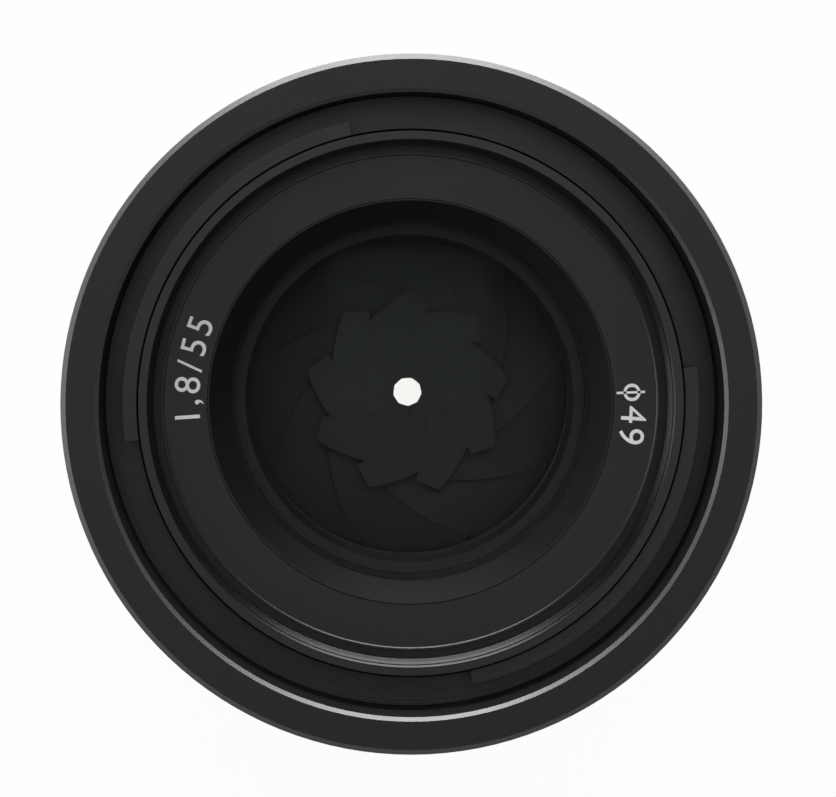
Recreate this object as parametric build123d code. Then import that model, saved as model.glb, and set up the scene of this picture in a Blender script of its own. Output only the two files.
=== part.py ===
from build123d import *
from math import sin, cos, radians, asin, atan, degrees, sqrt
import os

# A prime lens for a mirrorless camera, standing on its bayonet, optical axis on +Z.
# The index dot, and so the top of the lens in use, is towards -Y.  Millimetres.

# --- outer shape ---
BARREL_R = 31.8          # smooth front and rear barrels
FOCUS_R = 32.2           # over the ribs of the focus ring, the widest place
FRONT_Z = 74.5           # front face
SEAT_Z = 4.0             # mounting face that meets the camera
REAR_BARREL = (6.0, 25.6)
FOCUS_RING = (26.0, 52.0)
FRONT_BARREL_Z = 52.4
RIBS = 120
RIB_DEPTH = 0.35

# --- front ---
FACE_INNER_R = 28.35     # inner wall of the trough that takes the hood
FILTER_THREAD_R = 24.1   # crests of an M49 x 0.75 female thread
FILTER_RING_R = 25.2
FILTER_RIM_Z = 70.5
LUG_R = 26.45            # hood bayonet lugs
NAME_R = (18.9, 23.1)
NAME_Z = 66.5

# --- mount ---
MOUNT_R = 29.5
COLLAR_R = 21.6
BAYONET_R = 22.9
THROAT_R = 19.6

# --- iris ---
BLADES = 9
OPEN_R = 12.45           # inner edge of the open blades
PIVOT_R = 16.05
CLOSED_HOLE_R = 1.1
BLADE_SWING = 2 * degrees(asin((OPEN_R - CLOSED_HOLE_R) / 2 / PIVOT_R))
RING_SWING = BLADE_SWING / 3
BLADE_SLOPE = 0.09      # the blades lie like the vanes of a pinwheel
BLADE_T = 0.02
PIVOT_Z = 42.6
PIN_ARM = 4.6
ROOT_R = 3.0
PIN_R = 0.4
DRIVE_RING_Z = (41.6, 42.2)
TOOTH_PITCH = 360 / 130
RING_PITCH_R = 19.5
MOTOR_R = 21.4
MOTOR_ANGLE = 140
FLEX_ANGLE = 150

# --- focusing ---
FOCUS_TRAVEL = 7.0
SHAFT_R = 1.0
SHAFT_AT = 18.5


def turned(*points):
    """A solid of revolution from (radius, height) corners."""
    outline = Polyline(*[(r, 0, z) for r, z in points], close=True)
    return revolve(make_face(outline), Axis.Z, 360)


def tube(r_out, r_in, z0, z1):
    return turned((r_in, z0), (r_out, z0), (r_out, z1), (r_in, z1))


def rod(r, z0, z1, at=0, angle=0):
    return Pos(at * cos(radians(angle)), at * sin(radians(angle)), z0) * extrude(Circle(r), z1 - z0)


def block(radial, across, z0, z1, at, angle):
    """A box whose centre is at a radius and an angle round the axis."""
    body = Pos(at, 0, (z0 + z1) / 2) * Box(radial, across, z1 - z0)
    return Rot(0, 0, angle) * body


def arc_piece(r_out, r_in, z0, z1, start, span):
    face = make_face(Polyline((r_in, 0, z0), (r_out, 0, z0), (r_out, 0, z1), (r_in, 0, z1), close=True))
    return Rot(0, 0, start) * revolve(face, Axis.Z, span)


def height(radius, vertex, curve, r):
    """Height of a lens surface at r; a positive curve has its centre below."""
    return vertex - (curve - sqrt(curve ** 2 - r ** 2)) if curve > 0 else vertex + (-curve - sqrt(curve ** 2 - r ** 2))


def element(r, z_front, c_front, z_back, c_back, r_back=None):
    """A lens element with spherical faces, and a flat rim behind if r_back is smaller."""
    r_back = r_back or r
    zf, zb = height(r, z_front, c_front, r), height(r, z_back, c_back, r_back)
    top = ThreePointArc((0, 0, z_front), (r / 2, 0, height(r, z_front, c_front, r / 2)), (r, 0, zf))
    low = ThreePointArc((r_back, 0, zb), (r_back / 2, 0, height(r, z_back, c_back, r_back / 2)), (0, 0, z_back))
    edges = [top, Line((r, 0, zf), (r, 0, zb))]
    if r_back < r:
        edges.append(Line((r, 0, zb), (r_back, 0, zb)))
    edges += [low, Line((0, 0, z_back), (0, 0, z_front))]
    return revolve(make_face(edges), Axis.Z, 360)


def save(name, *solids):
    shape = solids[0] if len(solids) == 1 else Compound(children=list(solids))
    shape.label = name
    export_step(shape, f"parts/{name}.step")


def ring_of(solid, count, first=0):
    return [Rot(0, 0, first + 360 * i / count) * solid for i in range(count)]


# ---------------------------------------------------------------- outer shells
def front_shell():
    return turned((30.4, FRONT_BARREL_Z), (BARREL_R - 0.3, FRONT_BARREL_Z), (BARREL_R, FRONT_BARREL_Z + 0.3),
                  (BARREL_R, FRONT_Z - 0.5), (BARREL_R - 0.5, FRONT_Z), (FACE_INNER_R + 0.35, FRONT_Z),
                  (FACE_INNER_R, FRONT_Z - 0.35), (FACE_INNER_R, 65.0), (26.0, 65.0), (26.0, 63.4), (30.4, 63.4))


def filter_ring():
    body = turned((24.8, 65.0), (28.3, 65.0), (28.3, 66.4), (FILTER_RING_R, 66.4),
                  (FILTER_RING_R, FILTER_RIM_Z - 0.2), (FILTER_RING_R - 0.2, FILTER_RIM_Z),
                  (FILTER_THREAD_R + 0.15, FILTER_RIM_Z), (FILTER_THREAD_R, FILTER_RIM_Z - 0.15),
                  (FILTER_THREAD_R, 66.9), (24.8, 66.7))
    for middle in (0, 180):
        body += arc_piece(LUG_R, FILTER_RING_R - 0.5, 68.9, 70.1, middle - 42.5, 85)
    return body


def name_ring():
    return turned((NAME_R[0], 65.0), (24.0, 65.0), (24.0, 65.7), (NAME_R[1], 65.7), (NAME_R[1], NAME_Z + 0.1),
                  (NAME_R[1] - 0.15, NAME_Z + 0.1), (NAME_R[1] - 0.25, NAME_Z), (NAME_R[0], NAME_Z))


def focus_ring():
    """A tube with straight ribs between two plain bands."""
    step = 360 / RIBS
    outline = []
    for i in range(RIBS):
        for part, r in ((0.0, FOCUS_R - RIB_DEPTH), (0.3, FOCUS_R - RIB_DEPTH), (0.45, FOCUS_R), (0.85, FOCUS_R)):
            a = radians((i + part) * step)
            outline.append((r * cos(a), r * sin(a)))
    grip = Pos(0, 0, 28.0) * extrude(make_face(Polyline(*outline, close=True)) - Circle(29.9), 22.0)
    z0, z1 = FOCUS_RING
    low = turned((29.9, z0), (31.6, z0), (31.85, z0 + 0.25), (31.85, 28.0), (29.9, 28.0))
    high = turned((29.9, 50.0), (31.85, 50.0), (31.85, z1 - 0.25), (31.6, z1), (29.9, z1))
    return low + grip + high


def rear_barrel():
    z0, z1 = REAR_BARREL
    return turned((25.4, z0), (30.2, z0), (30.6, z0 + 0.4), (BARREL_R, 14.0), (BARREL_R, z1 - 0.3),
                  (BARREL_R - 0.3, z1), (29.35, z1), (29.35, 7.9), (25.4, 7.9)) - mount_holes() - index_hole()


def index_hole():
    return Rot(0, 0, 270) * Pos(31.0, 0, 10.0) * Rot(0, 90, 0) * extrude(Circle(1.0), 2.0)


def mount_index_dot():
    return Rot(0, 0, 270) * Pos(31.0, 0, 10.0) * Rot(0, 90, 0) * extrude(Circle(1.0), 0.12)


# ---------------------------------------------------------------- mount
def mount_holes():
    return [rod(0.8, 3.0, 9.0, 26.9, a) for a in (35, 125, 215, 325)]


def mount_flange():
    body = turned((THROAT_R, 0.0), (COLLAR_R, 0.0), (COLLAR_R, 3.6), (23.0, 3.6), (23.0, SEAT_Z),
                  (MOUNT_R - 0.2, SEAT_Z), (MOUNT_R, SEAT_Z + 0.2), (MOUNT_R, 6.0), (THROAT_R, 6.0))
    for start, span in ((20, 62), (145, 54), (262, 58)):
        body += arc_piece(BAYONET_R, COLLAR_R - 0.4, 0.3, 2.0, start, span)
    body -= mount_holes()
    body -= [rod(1.5, 3.0, 5.1, 26.9, a) for a in (35, 125, 215, 325)]
    return body - block(2.6, 3.2, 3.0, 5.6, 26.6, 300)


def mount_screws():
    screw = rod(1.4, 4.1, 5.1) + rod(0.78, 5.0, 8.9)
    slot = Pos(0, 0, 4.3) * (Box(1.5, 0.35, 0.6) + Box(0.35, 1.5, 0.6))
    return [Rot(0, 0, a) * Pos(26.9, 0, 0) * (screw - slot) for a in (35, 125, 215, 325)]


def contact_block():
    return arc_piece(19.5, 16.4, 1.2, 6.0, 50, 80) - contact_screw_holes()


def contact_screw_holes():
    return [rod(0.6, 0.5, 6.5, 18.0, a) for a in (54, 126)]


def contact_block_screws():
    return [rod(0.55, 1.25, 5.9, 18.0, a) for a in (54, 126)]


def contact_pads():
    return [block(2.0, 1.2, 0.95, 1.2, 18.0, 90 + (i - 4.5) * 6.6) for i in range(10)]


def rear_baffle():
    return turned((12.8, 7.6), (15.5, 6.0), (THROAT_R - 0.05, 6.0), (25.3, 6.0), (25.3, 7.9), (12.8, 8.3))


# ---------------------------------------------------------------- chassis
def motor_place(solid):
    return Rot(0, 0, MOTOR_ANGLE) * Pos(MOTOR_R, 0, 0) * solid


def inner_tube():
    body = tube(29.3, 28.2, 7.9, 63.4) + tube(28.3, 20.0, 60.0, 63.4) + tube(28.3, 17.6, 38.5, 40.5)
    body += tube(28.3, 25.0, 20.5, 22.0)
    body -= motor_place(rod(4.1, 38, 41))
    body -= shaft_holes() + [rod(0.8, 38, 41, 22.6, a) for a in (20, 200, 260)]
    return body - block(3, 6, 43.5, 47.5, 28.7, 320) - flex_slot()


def flex_slot():
    return block(1.0, 8.6, 20.0, 24.0, 26.5, FLEX_ANGLE)


def shaft_holes():
    return [rod(SHAFT_R + 0.01, 38.0, 39.8, SHAFT_AT, a) for a in (100, 280)]


def encoder_sensor():
    return block(1.4, 5.4, 44.0, 47.0, 28.1, 320)


def encoder_comb():
    comb = tube(29.85, 29.55, 44.0, 47.0)
    return comb - ring_of(block(1.0, 0.8, 44.6, 46.4, 29.7, 0), 60)


def main_circuit_board():
    board = tube(28.15, 17.0, 12.0, 13.0)
    chips = [block(5, 6, 13.0, 14.2, 23, a) for a in (0, 60, 200)]
    return board + chips + block(3, 9, 13.0, 14.0, 24, 130)


def flex_cable():
    """A ribbon up the inside of the chassis from the circuit board to the iris motor."""
    ribbon = block(0.3, 8, 13.0, 38.4, 26.5, FLEX_ANGLE)
    return ribbon + block(1.2, 3.0, 35.0, 35.3, 26.1, MOTOR_ANGLE + 5)


# ---------------------------------------------------------------- front optics
def front_lens_cell():
    return turned((13.4, 47.2), (17.2, 47.2), (17.2, 57.0), (19.6, 57.0), (19.6, 63.4), (25.9, 63.4), (25.9, 65.0),
                  (18.9, 65.0), (18.9, 62.83), (17.85, 62.83), (17.85, 58.0), (15.95, 58.0), (15.95, 55.9),
                  (15.05, 55.9), (15.05, 48.2), (13.4, 48.2))


def front_retaining_ring():
    return turned((16.9, 63.27), (17.85, 62.88), (18.85, 62.88), (18.85, 66.4), (18.7, 66.4), (16.9, 63.6))


def element_spacer():
    return turned((16.1, 58.0), (17.8, 58.0), (17.8, 59.94), (16.1, 60.17))


def doublet_retaining_ring():
    return turned((14.3, 56.5), (15.0, 56.05), (15.9, 56.05), (15.9, 57.8), (14.9, 57.8), (14.3, 57.0))


# ---------------------------------------------------------------- iris
def turn(point, centre, angle):
    dx, dy = point[0] - centre[0], point[1] - centre[1]
    c, s = cos(radians(angle)), sin(radians(angle))
    return centre[0] + dx * c - dy * s, centre[1] + dx * s + dy * c


def pin_place(opened):
    """Where the driving pin of the first blade is, with the iris opened by a share of its travel."""
    start = (PIVOT_R + PIN_ARM * cos(radians(-69)), PIN_ARM * sin(radians(-69)))
    return turn(start, (PIVOT_R, 0), -BLADE_SWING * (1 - opened))


def rounded_root(x, y):
    """Pull the corners round the pivot in to a disc, so that they clear the housing."""
    away = sqrt((x - PIVOT_R) ** 2 + y ** 2)
    share = min(1, ROOT_R / away) if y > -1.3 else 1
    return PIVOT_R + (x - PIVOT_R) * share, y * share


def blade_outline(steps=26):
    """The sickle of one open blade, root at angle 0, tip clockwise of it."""
    inner, outer = [], []
    for i in range(steps + 1):
        t = i / steps
        a = radians(11 - 115 * t)
        r = min(OPEN_R + 2.0 + 4.3 * (1 - t ** 3), 18.8)
        inner.append(rounded_root(OPEN_R * cos(a), OPEN_R * sin(a)))
        outer.append(rounded_root(r * cos(a), r * sin(a)))
    return inner + outer[::-1]


def blade(number):
    """Stopped down: the open sickle swung in about its pivot, on its sloping plane.
    The pivot pin passes through the ring to the base plate; the driving pin ends in the ring."""
    lean = radians(-150 - BLADE_SWING)
    def lift(x, y):
        return PIVOT_Z + BLADE_SLOPE * ((x - PIVOT_R) * cos(lean) + y * sin(lean))
    points = [turn(p, (PIVOT_R, 0), -BLADE_SWING) for p in blade_outline()]
    column = Pos(0, 0, 39) * extrude(make_face(Polyline(*points, close=True)), 9)
    slope = Rot(0, 0, degrees(lean)) * Rot(0, -degrees(atan(BLADE_SLOPE)), 0) * Box(90, 90, BLADE_T)
    sheet = column & (Pos(PIVOT_R, 0, PIVOT_Z) * slope)
    px, py = pin_place(0)
    pivot = Pos(PIVOT_R, 0, 41.0) * extrude(Circle(PIN_R), PIVOT_Z - 40.96)
    pin = Pos(px, py, DRIVE_RING_Z[0] + 0.05) * extrude(Circle(PIN_R), lift(px, py) + 0.04 - DRIVE_RING_Z[0] - 0.05)
    return Rot(0, 0, 40 * number) * (sheet + pivot + pin)


def drive_slot():
    """The path of a driving pin seen from the turning ring."""
    path = []
    for i in range(-1, 13):
        opened = min(i / 10, 1.13)
        path.append(turn(pin_place(opened), (0, 0), -RING_SWING * opened))
    half = PIN_R + 0.08
    left, right = [], []
    for i, (x, y) in enumerate(path):
        ax, ay = path[max(i - 1, 0)]
        bx, by = path[min(i + 1, len(path) - 1)]
        n = sqrt((bx - ax) ** 2 + (by - ay) ** 2)
        left.append((x - half * (by - ay) / n, y + half * (bx - ax) / n))
        right.append((x + half * (by - ay) / n, y - half * (bx - ax) / n))
    return Pos(0, 0, DRIVE_RING_Z[0] - 0.5) * extrude(make_face(Polyline(*(left + right[::-1]), close=True)), 2)


def teeth(count, pitch_r, pitch_angle, first):
    """Small straight-flanked gear teeth on a pitch circle, flat faces at height 0."""
    out = []
    for i in range(count):
        a = first + i * pitch_angle
        corners = [(-0.45, 0.26), (0, 0.17), (0.26, 0.07), (0.26, -0.07), (0, -0.17), (-0.45, -0.26)]
        out.append(Rot(0, 0, a) * make_face(Polyline(*[(pitch_r + x, y) for x, y in corners], close=True)))
    return out


def iris_drive_ring():
    z0, z1 = DRIVE_RING_Z
    body = tube(19.15, 12.6, z0, z1)
    count = 17
    rack = teeth(count, RING_PITCH_R, TOOTH_PITCH, MOTOR_ANGLE - RING_SWING / 2 - (count - 1) / 2 * TOOTH_PITCH)
    body += [Pos(0, 0, z0) * extrude(t, z1 - z0) for t in rack]
    passage = arc_piece(PIVOT_R + 0.5, PIVOT_R - 0.5, z0 - 1, z1 + 1, -RING_SWING - 1.8, RING_SWING + 3.6)
    return body - ring_of(drive_slot(), BLADES) - ring_of(passage, BLADES)


def iris_pinion():
    z0, z1 = DRIVE_RING_Z
    gear = rod(1.42, z0, z1) + rod(0.6, 38.0, z1)
    # a gap of the pinion faces the tooth of the ring on the line of centres
    lag = (RING_SWING / 2 % TOOTH_PITCH) * 130 / 12
    gear += [Pos(0, 0, z0) * extrude(t, z1 - z0) for t in teeth(12, 1.8, 30, 180 + 15 + lag)]
    return motor_place(gear)


def iris_base_plate():
    body = tube(24.0, 12.5, 40.5, 41.5) + tube(20.3, 19.3, 41.5, 45.8)
    body -= arc_piece(20.6, 19.0, 41.6, 46.0, MOTOR_ANGLE - 30, 60)
    body -= motor_place(rod(0.9, 40, 42))
    body -= ring_of(rod(PIN_R + 0.04, 40.9, 42, PIVOT_R), BLADES)
    return body - [rod(0.8, 40, 42, 22.6, a) for a in (20, 200, 260)]


def iris_cover_plate():
    return tube(20.3, 12.5, 45.8, 46.5)


def iris_motor():
    return motor_place(rod(4.0, 31.0, 40.5) - rod(0.65, 37.5, 41))


def iris_screws():
    return [rod(1.4, 41.5, 42.3, 22.6, a) + rod(0.78, 38.6, 41.6, 22.6, a) for a in (20, 200, 260)]


# ---------------------------------------------------------------- focusing group
def focus_cell():
    body = tube(14.2, 12.5, 26.0, 32.0) + tube(14.2, 11.6, 26.0, 27.0)
    for a in (100, 280):
        body += block(7.0, 5.0, 26.0, 31.0, 17.0, a)
        body -= rod(SHAFT_R + 0.05, 25, 33, SHAFT_AT, a)
    for a in (10, 190):
        body += block(1.2, 6.0, 26.0, 30.0, 14.6, a)
    return body - rod(12.5, 27.0, 33.0)


def motor_coil():
    return [block(4.4, 9.0, 26.0, 30.0, 17.4, a) - block(2.4, 7.0, 25, 31, 17.4, a) for a in (10, 190)]


def motor_yokes():
    out = []
    for a in (10, 190):
        out.append(block(1.2, 5.6, 23.5, 38.4, 17.4, a) + block(1.2, 8.0, 23.5, 38.4, 22.6, a)
                   + block(6.4, 5.6, 23.5, 24.7, 20.0, a))
    return out


def motor_magnets():
    return [block(1.4, 7.6, 25.0, 38.0, 21.3, a) for a in (10, 190)]


def guide_shafts():
    return [rod(SHAFT_R, 22.5, 39.7, SHAFT_AT, a) for a in (100, 280)]


# ---------------------------------------------------------------- rear optics
def rear_lens_cell():
    body = turned((13.35, 8.4), (15.4, 8.4), (15.4, 22.0), (28.15, 22.0), (28.15, 23.5), (12.6, 23.5),
                  (12.6, 13.6), (13.35, 13.6))
    body += tube(13.4, 12.0, 13.2, 13.6)
    return body - flex_slot() - [rod(SHAFT_R + 0.01, 22.4, 24, SHAFT_AT, a) for a in (100, 280)]


def main():
    os.makedirs("parts", exist_ok=True)
    save("front_shell", front_shell())
    save("filter_ring", filter_ring())
    save("name_ring", name_ring())
    save("focus_ring", focus_ring())
    save("rear_barrel", rear_barrel())
    save("mount_index_dot", mount_index_dot())
    save("mount_flange", mount_flange())
    save("mount_screws", *mount_screws())
    save("contact_block", contact_block())
    save("contact_block_screws", *contact_block_screws())
    save("contact_pads", *contact_pads())
    save("rear_baffle", rear_baffle())
    save("inner_tube", inner_tube())
    save("friction_band", tube(29.83, 29.32, 30.0, 33.0))
    save("encoder_sensor", encoder_sensor())
    save("encoder_comb", encoder_comb())
    save("main_circuit_board", main_circuit_board())
    save("flex_cable", flex_cable())
    save("front_lens_cell", front_lens_cell())
    save("front_retaining_ring", front_retaining_ring())
    save("element_spacer", element_spacer())
    save("doublet_retaining_ring", doublet_retaining_ring())
    save("element_1", element(17.8, 66.5, 45, 61.3, 120))
    save("element_2", element(15.0, 60.5, 27, 55.0, 70))
    save("element_3", element(15.0, 55.0, 70, 53.2, 19, 12.8))
    save("iris_drive_ring", iris_drive_ring())
    save("iris_pinion", iris_pinion())
    save("iris_base_plate", iris_base_plate())
    save("iris_cover_plate", iris_cover_plate())
    save("iris_motor", iris_motor())
    save("iris_screws", *iris_screws())
    for i in range(BLADES):
        save(f"iris_blade_{i + 1}", blade(i))
    save("focus_cell", focus_cell())
    save("motor_coil", *motor_coil())
    save("motor_yokes", *motor_yokes())
    save("motor_magnets", *motor_magnets())
    save("guide_shafts", *guide_shafts())
    save("element_4", element(12.45, 30.2, 80, 28.4, 60))
    save("focus_retaining_ring", tube(12.45, 11.4, 29.45, 30.6))
    save("rear_lens_cell", rear_lens_cell())
    save("element_5", element(12.5, 21.0, 45, 16.5, -50))
    save("element_6", element(12.5, 16.5, -50, 15.0, 60))
    save("rear_doublet_ring", tube(12.55, 11.2, 19.65, 21.0))
    save("element_7", element(13.3, 11.9, -80, 10.0, 200))
    save("rear_retaining_ring", tube(13.3, 12.2, 8.4, 9.4))


main()
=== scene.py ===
import bpy
import bmesh
from math import radians, sin, cos, pi
from mathutils import Vector, Matrix


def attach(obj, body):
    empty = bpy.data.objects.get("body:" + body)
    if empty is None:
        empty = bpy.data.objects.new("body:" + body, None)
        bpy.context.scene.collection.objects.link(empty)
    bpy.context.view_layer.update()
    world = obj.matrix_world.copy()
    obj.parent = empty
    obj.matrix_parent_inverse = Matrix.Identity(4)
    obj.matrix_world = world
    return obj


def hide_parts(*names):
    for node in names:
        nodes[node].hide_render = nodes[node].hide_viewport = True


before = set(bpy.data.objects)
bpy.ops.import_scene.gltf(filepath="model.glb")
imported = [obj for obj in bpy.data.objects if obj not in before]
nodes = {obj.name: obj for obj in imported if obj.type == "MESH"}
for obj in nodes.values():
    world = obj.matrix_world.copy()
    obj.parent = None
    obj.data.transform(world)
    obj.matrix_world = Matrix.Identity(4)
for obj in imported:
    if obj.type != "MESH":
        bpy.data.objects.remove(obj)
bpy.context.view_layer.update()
bpy.ops.object.select_all(action="DESELECT")

# The lens stands on its mount, front up.  Angles are in degrees, counter-clockwise seen from the front.
READING_TOP = 125                    # the side that is up in the view
READING_RIGHT = READING_TOP - 90     # the side that is at the right in the view

# Heights above the rear of the mount, in metres.
FRONT_Z = 0.0745
NAME_Z = 0.0665                      # the flat of the name ring

# Figures on the name ring: lengths in metres, the arc each one takes in degrees.
LETTER_BASE_R = 0.0196
LETTER_SIZE = 0.0034
LETTER_DEPTH = 0.00001
LETTER_ARC = {"1": 4.1, ",": 3.6, "8": 5.2, "/": 4.6, "5": 5.6, "4": 5.4, "9": 5.6, "D": 6.2}
SPEED_AT = READING_RIGHT + 171.5
FILTER_SIZE_AT = READING_RIGHT + 357

# Filter thread, in millimetres.
THREAD_PITCH = 0.75
THREAD_LOW = 66.7
THREAD_HIGH = 70.2
THREAD_WALL_R = 24.14
THREAD_ROOT_R = 24.08
THREAD_CREST_R = 23.86
THREAD_RIDGE = ((THREAD_ROOT_R, 0.1), (THREAD_CREST_R, 0.32), (THREAD_CREST_R, 0.42), (THREAD_ROOT_R, 0.65))

# Glass.
GLASS_IOR = 1.5
COATED_SHINE = 0.02
COATED_TINT = (0.03, 0.05, 0.04)
AXIS_GAP = 0.0002                    # millimetres: an outline stops this short of the axis
CURVE_STEPS = 28

# Camera.
LEAN = 2.7                           # degrees off the optical axis
LEAN_TOWARDS = READING_RIGHT + 107.6
DISTANCE = 0.300                     # metres, from the front
VIEW_WIDTH = 0.07552                 # metres across the frame at the front of the lens
SENSOR_WIDTH = 36


# ---------------------------------------------------------------- finishes
def node_group(name, inputs, outputs):
    tree = bpy.data.node_groups.new(name, "ShaderNodeTree")
    for label, kind, value in inputs:
        socket = tree.interface.new_socket(label, in_out="INPUT", socket_type=kind)
        if value is not None:
            socket.default_value = value
    for label, kind in outputs:
        tree.interface.new_socket(label, in_out="OUTPUT", socket_type=kind)
    return tree, tree.nodes.new("NodeGroupInput"), tree.nodes.new("NodeGroupOutput")


def add_nodes(tree, *kinds):
    return [tree.nodes.new("ShaderNode" + kind) for kind in kinds]


def math_node(tree, operation, *values):
    """A Math node; a value of None leaves that input to a link."""
    node = tree.nodes.new("ShaderNodeMath")
    node.operation = operation
    for socket, value in zip(node.inputs, values):
        if value is not None:
            socket.default_value = value
    return node


def make_grain():
    """Fine grain: an uneven colour, roughness and relief for painted, moulded and anodised skins."""
    tree, taken, given = node_group(
        "grain",
        [("Colour", "NodeSocketColor", None),
         ("Scale", "NodeSocketFloat", 3000.0),
         ("Mottle", "NodeSocketFloat", 0.1),
         ("Roughness", "NodeSocketFloat", 0.5),
         ("Relief", "NodeSocketFloat", 0.1)],
        [("Colour", "NodeSocketColor"), ("Roughness", "NodeSocketFloat"), ("Normal", "NodeSocketVector")])
    link = tree.links.new
    where, fine, broad, shade, bump = add_nodes(tree, "TexCoord", "TexNoise", "TexNoise", "VectorMath", "Bump")
    broad.inputs["Scale"].default_value = 140
    fine.inputs["Detail"].default_value = 3
    link(where.outputs["Object"], fine.inputs["Vector"])
    link(where.outputs["Object"], broad.inputs["Vector"])
    link(taken.outputs["Scale"], fine.inputs["Scale"])

    # the mottle swings both ways about 1
    centred = math_node(tree, "SUBTRACT", None, 0.5)
    mottle = math_node(tree, "MULTIPLY_ADD", None, None, 1.0)
    link(broad.outputs["Fac"], centred.inputs[0])
    link(centred.outputs[0], mottle.inputs[0])
    link(taken.outputs["Mottle"], mottle.inputs[1])

    shade.operation = "SCALE"
    link(taken.outputs["Colour"], shade.inputs[0])
    link(mottle.outputs[0], shade.inputs["Scale"])
    link(shade.outputs[0], given.inputs["Colour"])

    rough = math_node(tree, "MULTIPLY")
    link(taken.outputs["Roughness"], rough.inputs[0])
    link(mottle.outputs[0], rough.inputs[1])
    link(rough.outputs[0], given.inputs["Roughness"])

    bump.inputs["Distance"].default_value = 0.00003
    link(taken.outputs["Relief"], bump.inputs["Strength"])
    link(fine.outputs["Fac"], bump.inputs["Height"])
    link(bump.outputs[0], given.inputs["Normal"])
    return tree


def make_lathe_lines():
    """Rings left by the lathe round the optical axis, as a height from 0 to 1."""
    tree, taken, given = node_group(
        "lathe_lines", [("Scale", "NodeSocketFloat", 9000.0)], [("Height", "NodeSocketFloat")])
    link = tree.links.new
    where, split, flat, radius, place, noise = add_nodes(
        tree, "TexCoord", "SeparateXYZ", "CombineXYZ", "VectorMath", "CombineXYZ", "TexNoise")
    radius.operation = "LENGTH"
    link(where.outputs["Object"], split.inputs[0])
    link(split.outputs["X"], flat.inputs["X"])
    link(split.outputs["Y"], flat.inputs["Y"])
    link(flat.outputs[0], radius.inputs[0])
    link(radius.outputs["Value"], place.inputs["X"])
    link(split.outputs["Z"], place.inputs["Y"])
    noise.inputs["Detail"].default_value = 2
    link(place.outputs[0], noise.inputs["Vector"])
    link(taken.outputs["Scale"], noise.inputs["Scale"])
    link(noise.outputs["Fac"], given.inputs["Height"])
    return tree


def make_chamfer_glint():
    """A mask by slope: 1 where a face leans between steep and nearly flat, as the chamfers do."""
    steep, nearly_flat = 0.35, 0.93
    tree, taken, given = node_group(
        "chamfer_glint", [("Amount", "NodeSocketFloat", 1.0)], [("Mask", "NodeSocketFloat")])
    link = tree.links.new
    surface, split, ramp = add_nodes(tree, "NewGeometry", "SeparateXYZ", "ValToRGB")
    ramp.color_ramp.interpolation = "CONSTANT"
    ramp.color_ramp.elements[0].color = (0, 0, 0, 1)
    ramp.color_ramp.elements[1].position = steep
    ramp.color_ramp.elements.new(nearly_flat).color = (0, 0, 0, 1)
    link(surface.outputs["True Normal"], split.inputs[0])
    link(split.outputs["Z"], ramp.inputs[0])
    times = math_node(tree, "MULTIPLY")
    link(ramp.outputs[0], times.inputs[0])
    link(taken.outputs["Amount"], times.inputs[1])
    link(times.outputs[0], given.inputs["Mask"])
    return tree


GRAIN = make_grain()
GLINT = make_chamfer_glint()
LATHE = make_lathe_lines()


def finish(name, colour, rough, metal=0.0, scale=3000, mottle=0.25, relief=0.3, lathe=0.0, spec=0.3, glint=0.0):
    """A grained skin.  lathe adds turning lines; glint is how bright the metal of the chamfers is."""
    material = bpy.data.materials.new(name)
    material.use_nodes = True
    material.diffuse_color = (*colour, 1)
    tree = material.node_tree
    link = tree.links.new
    skin = tree.nodes["Principled BSDF"]
    grain, = add_nodes(tree, "Group")
    grain.node_tree = GRAIN
    grain.inputs["Colour"].default_value = (*colour, 1)
    for key, value in (("Scale", scale), ("Mottle", mottle), ("Roughness", rough), ("Relief", relief)):
        grain.inputs[key].default_value = value
    base = grain.outputs["Colour"]
    normal = grain.outputs["Normal"]
    if glint:
        edge, mix = add_nodes(tree, "Group", "Mix")
        edge.node_tree = GLINT
        mix.data_type = "RGBA"
        mix.inputs["B"].default_value = (glint, glint, glint * 1.03, 1)
        link(edge.outputs["Mask"], mix.inputs["Factor"])
        link(base, mix.inputs["A"])
        link(edge.outputs["Mask"], skin.inputs["Metallic"])
        base = mix.outputs["Result"]
    else:
        skin.inputs["Metallic"].default_value = metal
    if lathe:
        lines, bump = add_nodes(tree, "Group", "Bump")
        lines.node_tree = LATHE
        bump.inputs["Distance"].default_value = 0.00002
        bump.inputs["Strength"].default_value = lathe
        link(lines.outputs["Height"], bump.inputs["Height"])
        link(normal, bump.inputs["Normal"])
        normal = bump.outputs[0]
    link(base, skin.inputs["Base Color"])
    link(grain.outputs["Roughness"], skin.inputs["Roughness"])
    link(normal, skin.inputs["Normal"])
    skin.inputs["Specular IOR Level"].default_value = spec
    return material


def painted_overlap_shade(material, reach, dark):
    """Paints shade into a finish where another blade lies close over it, an ambient occlusion darkening of the
    colour, so that each edge reads as a line.
    """
    tree = material.node_tree
    link = tree.links.new
    skin = tree.nodes["Principled BSDF"]
    close, mix = add_nodes(tree, "AmbientOcclusion", "Mix")
    close.inputs["Distance"].default_value = reach
    close.samples = 12
    curve = math_node(tree, "POWER", None, 2.0)
    mix.data_type = "RGBA"
    mix.inputs["A"].default_value = (*dark, 1)
    link(close.outputs["AO"], curve.inputs[0])
    link(curve.outputs[0], mix.inputs["Factor"])
    link(skin.inputs["Base Color"].links[0].from_socket, mix.inputs["B"])
    link(mix.outputs["Result"], skin.inputs["Base Color"])


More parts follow.
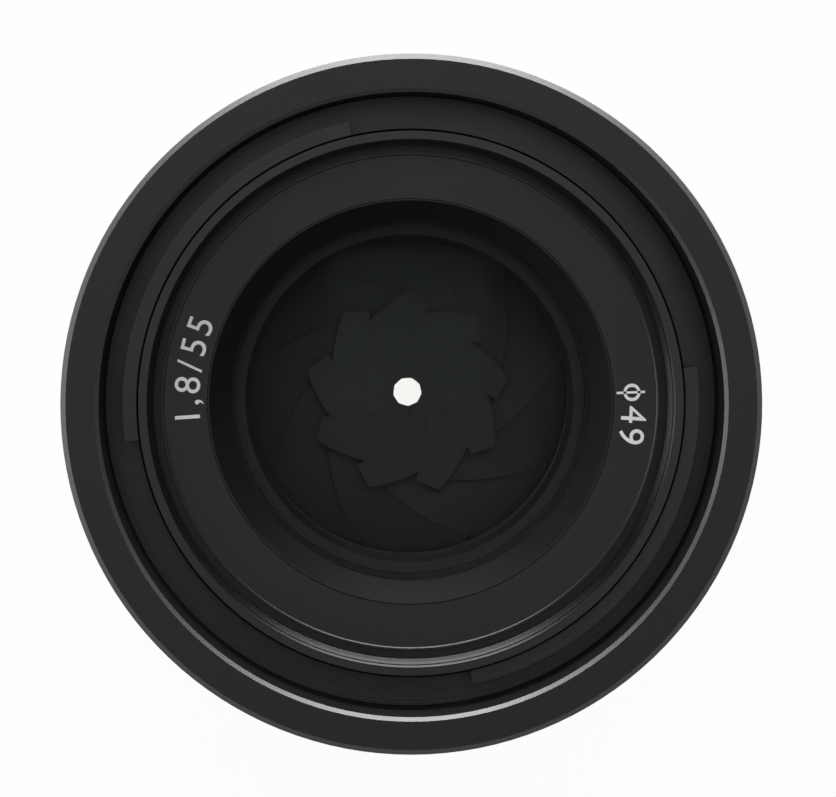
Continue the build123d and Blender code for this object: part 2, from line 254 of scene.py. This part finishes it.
def coated_glass(name, tint):
    """Clear glass that lets the light through to the iris behind it; the coating keeps its shine low."""
    material = bpy.data.materials.new(name)
    material.use_nodes = True
    tree = material.node_tree
    link = tree.links.new
    skin, out = tree.nodes["Principled BSDF"], tree.nodes["Material Output"]
    skin.inputs["Roughness"].default_value = 0.0
    skin.inputs["Transmission Weight"].default_value = 1.0
    skin.inputs["IOR"].default_value = GLASS_IOR
    skin.inputs["Specular IOR Level"].default_value = COATED_SHINE
    skin.inputs["Specular Tint"].default_value = (*COATED_TINT, 1)
    where, noise, ramp = add_nodes(tree, "TexCoord", "TexNoise", "ValToRGB")
    noise.inputs["Scale"].default_value = 60
    ramp.color_ramp.elements[0].color = (*tint, 1)
    ramp.color_ramp.elements[1].color = (1, 1, 1, 1)
    link(where.outputs["Object"], noise.inputs["Vector"])
    link(noise.outputs["Fac"], ramp.inputs[0])
    link(ramp.outputs[0], skin.inputs["Base Color"])
    path, mixer, clear = add_nodes(tree, "LightPath", "MixShader", "BsdfTransparent")
    link(path.outputs["Is Shadow Ray"], mixer.inputs[0])
    link(skin.outputs[0], mixer.inputs[1])
    link(clear.outputs[0], mixer.inputs[2])
    link(mixer.outputs[0], out.inputs["Surface"])
    return material


black_face = finish("matte_black_anodised", (0.0095, 0.0100, 0.0112), 0.50,
                    scale=7000, relief=0.35, mottle=0.2, glint=0.16)
black_ring = finish("turned_black_anodised", (0.012, 0.0125, 0.0135), 0.34,
                    scale=7000, relief=0.15, lathe=0.5, glint=0.05)
rib_black = finish("ribbed_black_anodised", (0.011, 0.0115, 0.013), 0.38, scale=6000, relief=0.2)
name_black = finish("satin_black_paint", (0.011, 0.0112, 0.012), 0.42, scale=9000, relief=0.25, glint=0.09)
inner_black = finish("blackened_inside", (0.008, 0.008, 0.0085), 0.5, scale=6000, relief=0.2, lathe=0.6)
plastic = finish("moulded_black", (0.012, 0.012, 0.013), 0.5, scale=5000, relief=0.4)
blade_film = finish("dry_film_black", (0.021, 0.021, 0.023), 0.46, scale=9000, relief=0.1, mottle=0.35)
mount_metal = finish("chromed_brass", (0.62, 0.62, 0.63), 0.22, metal=1, scale=4000, relief=0.05, lathe=0.7)
steel = finish("plain_steel", (0.45, 0.45, 0.46), 0.3, metal=1, scale=6000, relief=0.1)
gold = finish("gold_plate", (0.85, 0.6, 0.25), 0.22, metal=1, scale=6000, relief=0.1)
copper = finish("lacquered_copper", (0.6, 0.24, 0.1), 0.35, metal=1, scale=9000, relief=0.5)
board = finish("board_lacquer", (0.015, 0.10, 0.05), 0.35, scale=1500, relief=0.2)
ribbon = finish("amber_film", (0.42, 0.19, 0.03), 0.3, relief=0.1)
white = finish("white_paint", (0.8, 0.8, 0.78), 0.4, scale=6000, relief=0.1, mottle=0.05)
letter_paint = finish("light_grey_paint", (0.93, 0.93, 0.94), 0.5, scale=9000, relief=0.15, mottle=0.12)
felt = finish("black_felt", (0.02, 0.02, 0.02), 0.9, scale=9000, relief=0.8)
# painted shade on the iris blades where one blade lies close over the next
painted_overlap_shade(blade_film, reach=0.0012, dark=(0.002, 0.002, 0.002))
front_glass = coated_glass("front_glass_green_coat", (0.975, 0.99, 0.975))
inner_glass = coated_glass("inner_glass_amber_coat", (0.985, 0.98, 0.97))

USES = {
    black_face: ["front_shell", "rear_barrel"],
    black_ring: ["filter_ring"],
    rib_black: ["focus_ring"],
    name_black: ["name_ring"],
    inner_black: ["front_retaining_ring", "front_lens_cell", "rear_lens_cell", "inner_tube", "element_spacer",
                  "doublet_retaining_ring", "rear_doublet_ring", "rear_retaining_ring", "focus_retaining_ring"],
    plastic: ["contact_block", "rear_baffle", "iris_cover_plate", "iris_base_plate", "iris_drive_ring",
              "focus_cell", "encoder_comb", "encoder_sensor", "iris_pinion"],
    blade_film: ["iris_blade_%d" % i for i in range(1, 10)],
    mount_metal: ["mount_flange"],
    steel: ["mount_screws", "contact_block_screws", "iris_screws", "guide_shafts", "iris_motor", "motor_yokes",
            "motor_magnets"],
    gold: ["contact_pads"],
    copper: ["motor_coil"],
    board: ["main_circuit_board"],
    ribbon: ["flex_cable"],
    white: ["mount_index_dot"],
    felt: ["friction_band"],
    front_glass: ["element_1"],
    inner_glass: ["element_4", "element_7"],
}


def dress_cad_nodes():
    for material, names in USES.items():
        for name in names:
            data = nodes[name].data
            data.materials.clear()
            data.materials.append(material)


# ---------------------------------------------------------------- new pieces
def add_piece(name, material, body, replaced=()):
    obj = bpy.context.object
    obj.name = obj.data.name = name
    obj.data.materials.clear()
    obj.data.materials.append(material)
    bpy.ops.object.mode_set(mode="OBJECT")
    bpy.ops.object.transform_apply(location=True, rotation=True, scale=True)
    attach(obj, body)
    if replaced:
        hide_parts(*replaced)
    obj.select_set(False)


def spun(name, profile, material, body, steps, angle, replaced=()):
    """A ring turned from (radius, height) corners in millimetres; edges under angle are smooth."""
    bpy.ops.object.select_all(action="DESELECT")
    bpy.ops.mesh.primitive_plane_add(size=0.001)
    obj = bpy.context.object
    bpy.ops.object.mode_set(mode="EDIT")
    bpy.ops.mesh.delete(type="VERT")
    outline = bmesh.from_edit_mesh(obj.data)
    corners = [outline.verts.new((r / 1000, 0, z / 1000)) for r, z in profile]
    for a, b in zip(corners, corners[1:] + corners[:1]):
        outline.edges.new((a, b))
    bmesh.update_edit_mesh(obj.data)
    bpy.ops.mesh.select_all(action="SELECT")
    bpy.ops.mesh.spin(steps=steps, angle=2 * pi, center=(0, 0, 0), axis=(0, 0, 1))
    bpy.ops.mesh.select_all(action="SELECT")
    bpy.ops.mesh.remove_doubles(threshold=1e-6)
    bpy.ops.mesh.normals_make_consistent(inside=False)
    bpy.ops.object.mode_set(mode="OBJECT")
    bpy.ops.object.shade_smooth_by_angle(angle=radians(angle))
    add_piece(name, material, body, replaced)


def curve_points(rim, z, curve):
    """Points of a domed face from the axis to its rim; curve is the radius of the dome."""
    radii = [rim * i / CURVE_STEPS for i in range(CURVE_STEPS + 1)]
    return [(max(r, AXIS_GAP), z - (curve - (curve * curve - r * r) ** 0.5)) for r in radii]


def lens_profile(rim, front_z, front_curve, back_z, back_curve, back_rim=None):
    """Front and back faces and the ground edge, from the axis out and back, in millimetres."""
    back_rim = back_rim or rim
    front = curve_points(rim, front_z, front_curve)
    back = curve_points(back_rim, back_z, back_curve)
    step = [(rim, back[-1][1])] if back_rim < rim else []
    return front + step + back[::-1]


def glass_pieces():
    """Each cemented pair is one block of glass, so that no two faces lie on each other."""
    spun("front_doublet",
         lens_profile(rim=15.0, front_z=60.5, front_curve=27, back_z=53.2, back_curve=19, back_rim=12.8),
         inner_glass, "barrel", steps=128, angle=30, replaced=("element_2", "element_3"))
    spun("rear_doublet", lens_profile(rim=12.5, front_z=21.0, front_curve=45, back_z=15.0, back_curve=60),
         inner_glass, "barrel", steps=128, angle=30, replaced=("element_5", "element_6"))
    spun("front_glass", lens_profile(rim=17.8, front_z=66.5, front_curve=45, back_z=61.3, back_curve=120),
         front_glass, "barrel", steps=160, angle=30, replaced=("element_1",))


def filter_thread():
    """The thread of the filter ring, as plain ridges inside the bore."""
    profile = [(THREAD_WALL_R, THREAD_LOW)]
    z = THREAD_LOW
    while z + THREAD_PITCH < THREAD_HIGH:
        profile += [(r, z + rise) for r, rise in THREAD_RIDGE]
        z += THREAD_PITCH
    profile += [(THREAD_WALL_R, THREAD_HIGH)]
    spun("filter_thread_ridges", profile, black_ring, "barrel", steps=160, angle=20)


def lettering(name, text, middle):
    """Figures filled with paint round the name ring, their tops outwards, read clockwise."""
    at = middle + sum(LETTER_ARC[c] for c in text) / 2
    marks = []
    for c in text:
        centre = at - LETTER_ARC[c] / 2
        at -= LETTER_ARC[c]
        # D stands for the diameter sign, a ring with an upright bar through it, both raised a little
        marks += [("o", centre, 1.0, 0.00022), ("|", centre, 0.85, 0.00022)] if c == "D" else [(c, centre, 1.0, 0)]
    made = []
    for c, centre, share, rise in marks:
        bpy.ops.object.select_all(action="DESELECT")
        bpy.ops.object.text_add()
        figure = bpy.context.object.data
        figure.body = c
        figure.size = LETTER_SIZE * share
        figure.align_x = "CENTER"
        figure.extrude = LETTER_DEPTH
        figure.resolution_u = 5
        bpy.ops.object.convert(target="MESH")
        obj = bpy.context.object
        turn = Matrix.Rotation(radians(centre - 90), 4, "Z")
        place = Matrix.Translation((0, LETTER_BASE_R + rise, NAME_Z + LETTER_DEPTH))
        obj.data.transform(turn @ place)
        made.append(obj)
    for obj in made:
        obj.select_set(True)
    bpy.context.view_layer.objects.active = made[0]
    bpy.ops.object.join()
    add_piece(name, letter_paint, "barrel")


# ---------------------------------------------------------------- stage
def floor():
    bpy.ops.object.select_all(action="DESELECT")
    bpy.ops.mesh.primitive_plane_add(size=6, location=(0, 0, -0.0002))
    plane = bpy.context.object
    plane.name = "floor"
    material = bpy.data.materials.new("pale_floor")
    material.use_nodes = True
    tree = material.node_tree
    link = tree.links.new
    skin, out = tree.nodes["Principled BSDF"], tree.nodes["Material Output"]
    skin.inputs["Base Color"].default_value = (0.85, 0.85, 0.85, 1)
    skin.inputs["Roughness"].default_value = 0.8
    glow, path, mixer = add_nodes(tree, "Emission", "LightPath", "MixShader")
    glow.inputs["Strength"].default_value = 1.0
    either = math_node(tree, "MAXIMUM")
    share = math_node(tree, "MULTIPLY", None, 0.96)
    link(path.outputs["Is Transmission Ray"], either.inputs[0])
    link(path.outputs["Is Camera Ray"], either.inputs[1])
    link(either.outputs[0], share.inputs[0])
    link(share.outputs[0], mixer.inputs[0])
    link(skin.outputs[0], mixer.inputs[1])
    link(glow.outputs[0], mixer.inputs[2])
    # from below the floor is clear, so that the mount can be seen
    faces, side, clear = add_nodes(tree, "NewGeometry", "MixShader", "BsdfTransparent")
    link(faces.outputs["Backfacing"], side.inputs[0])
    link(mixer.outputs[0], side.inputs[1])
    link(clear.outputs[0], side.inputs[2])
    link(side.outputs[0], out.inputs["Surface"])
    plane.data.materials.append(material)


def room():
    """A dim bluish room that the camera sees as nearly white."""
    world = bpy.data.worlds.new("room")
    bpy.context.scene.world = world
    world.use_nodes = True
    tree = world.node_tree
    link = tree.links.new
    dim = tree.nodes["Background"]
    bright, path, mixer = add_nodes(tree, "Background", "LightPath", "MixShader")
    dim.inputs["Color"].default_value = (0.9, 0.93, 1.0, 1)
    dim.inputs["Strength"].default_value = 0.2
    bright.inputs["Color"].default_value = (0.97, 0.97, 0.97, 1)
    link(path.outputs["Is Camera Ray"], mixer.inputs[0])
    link(dim.outputs[0], mixer.inputs[1])
    link(bright.outputs[0], mixer.inputs[2])
    link(mixer.outputs[0], tree.nodes["World Output"].inputs["Surface"])


def direction(angle):
    return Vector((cos(radians(angle)), sin(radians(angle)), 0))


def lamp(name, place, target, size, power):
    data = bpy.data.lights.new(name, "AREA")
    data.shape = "RECTANGLE"
    data.size, data.size_y = size
    data.energy = power
    obj = bpy.data.objects.new(name, data)
    bpy.context.scene.collection.objects.link(obj)
    obj.visible_transmission = False
    obj.location = place
    obj.rotation_euler = (Vector(target) - Vector(place)).to_track_quat("-Z", "Y").to_euler()


def lights():
    up = direction(READING_TOP)
    left = -direction(READING_RIGHT)
    lamp("soft_box_top", up * 0.75 + Vector((0, 0, 0.24)), target=(0, 0, 0.07), size=(0.8, 0.4), power=9)
    lamp("soft_box_left", left * 0.8 + Vector((0, 0, 0.4)), target=(0, 0, 0.06), size=(0.4, 0.5), power=2)
    lamp("overhead", up * 0.35 + Vector((0, 0, 1.2)), target=(0, 0, 0.05), size=(0.9, 0.9), power=4.2)


def camera():
    """Looks down at the front, a little off the axis, with the view's top towards READING_TOP."""
    aim = Vector((0, 0, FRONT_Z))
    place = aim + Vector((0, 0, DISTANCE)) + direction(LEAN_TOWARDS) * DISTANCE * sin(radians(LEAN))
    look = (aim - place).normalized()
    right = look.cross(direction(READING_TOP)).normalized()
    up = right.cross(look)
    turn = Matrix((right, up, -look)).transposed()
    data = bpy.data.cameras.new("camera")
    cam = bpy.data.objects.new("camera", data)
    bpy.context.scene.collection.objects.link(cam)
    cam.matrix_world = Matrix.Translation(place) @ turn.to_4x4()
    data.sensor_width = SENSOR_WIDTH
    data.lens = SENSOR_WIDTH * DISTANCE / VIEW_WIDTH
    # the lens stands a little left of the middle of the frame and a little below it
    data.shift_x = 0.0073
    data.shift_y = 0.0090
    data.clip_start = 0.01
    bpy.context.scene.camera = cam


dress_cad_nodes()
glass_pieces()
filter_thread()
lettering("speed_and_focal_length", "1,8/55", SPEED_AT)
lettering("filter_size", "D49", FILTER_SIZE_AT)
floor()
room()
lights()
camera()
bpy.context.scene.view_settings.view_transform = "Standard"
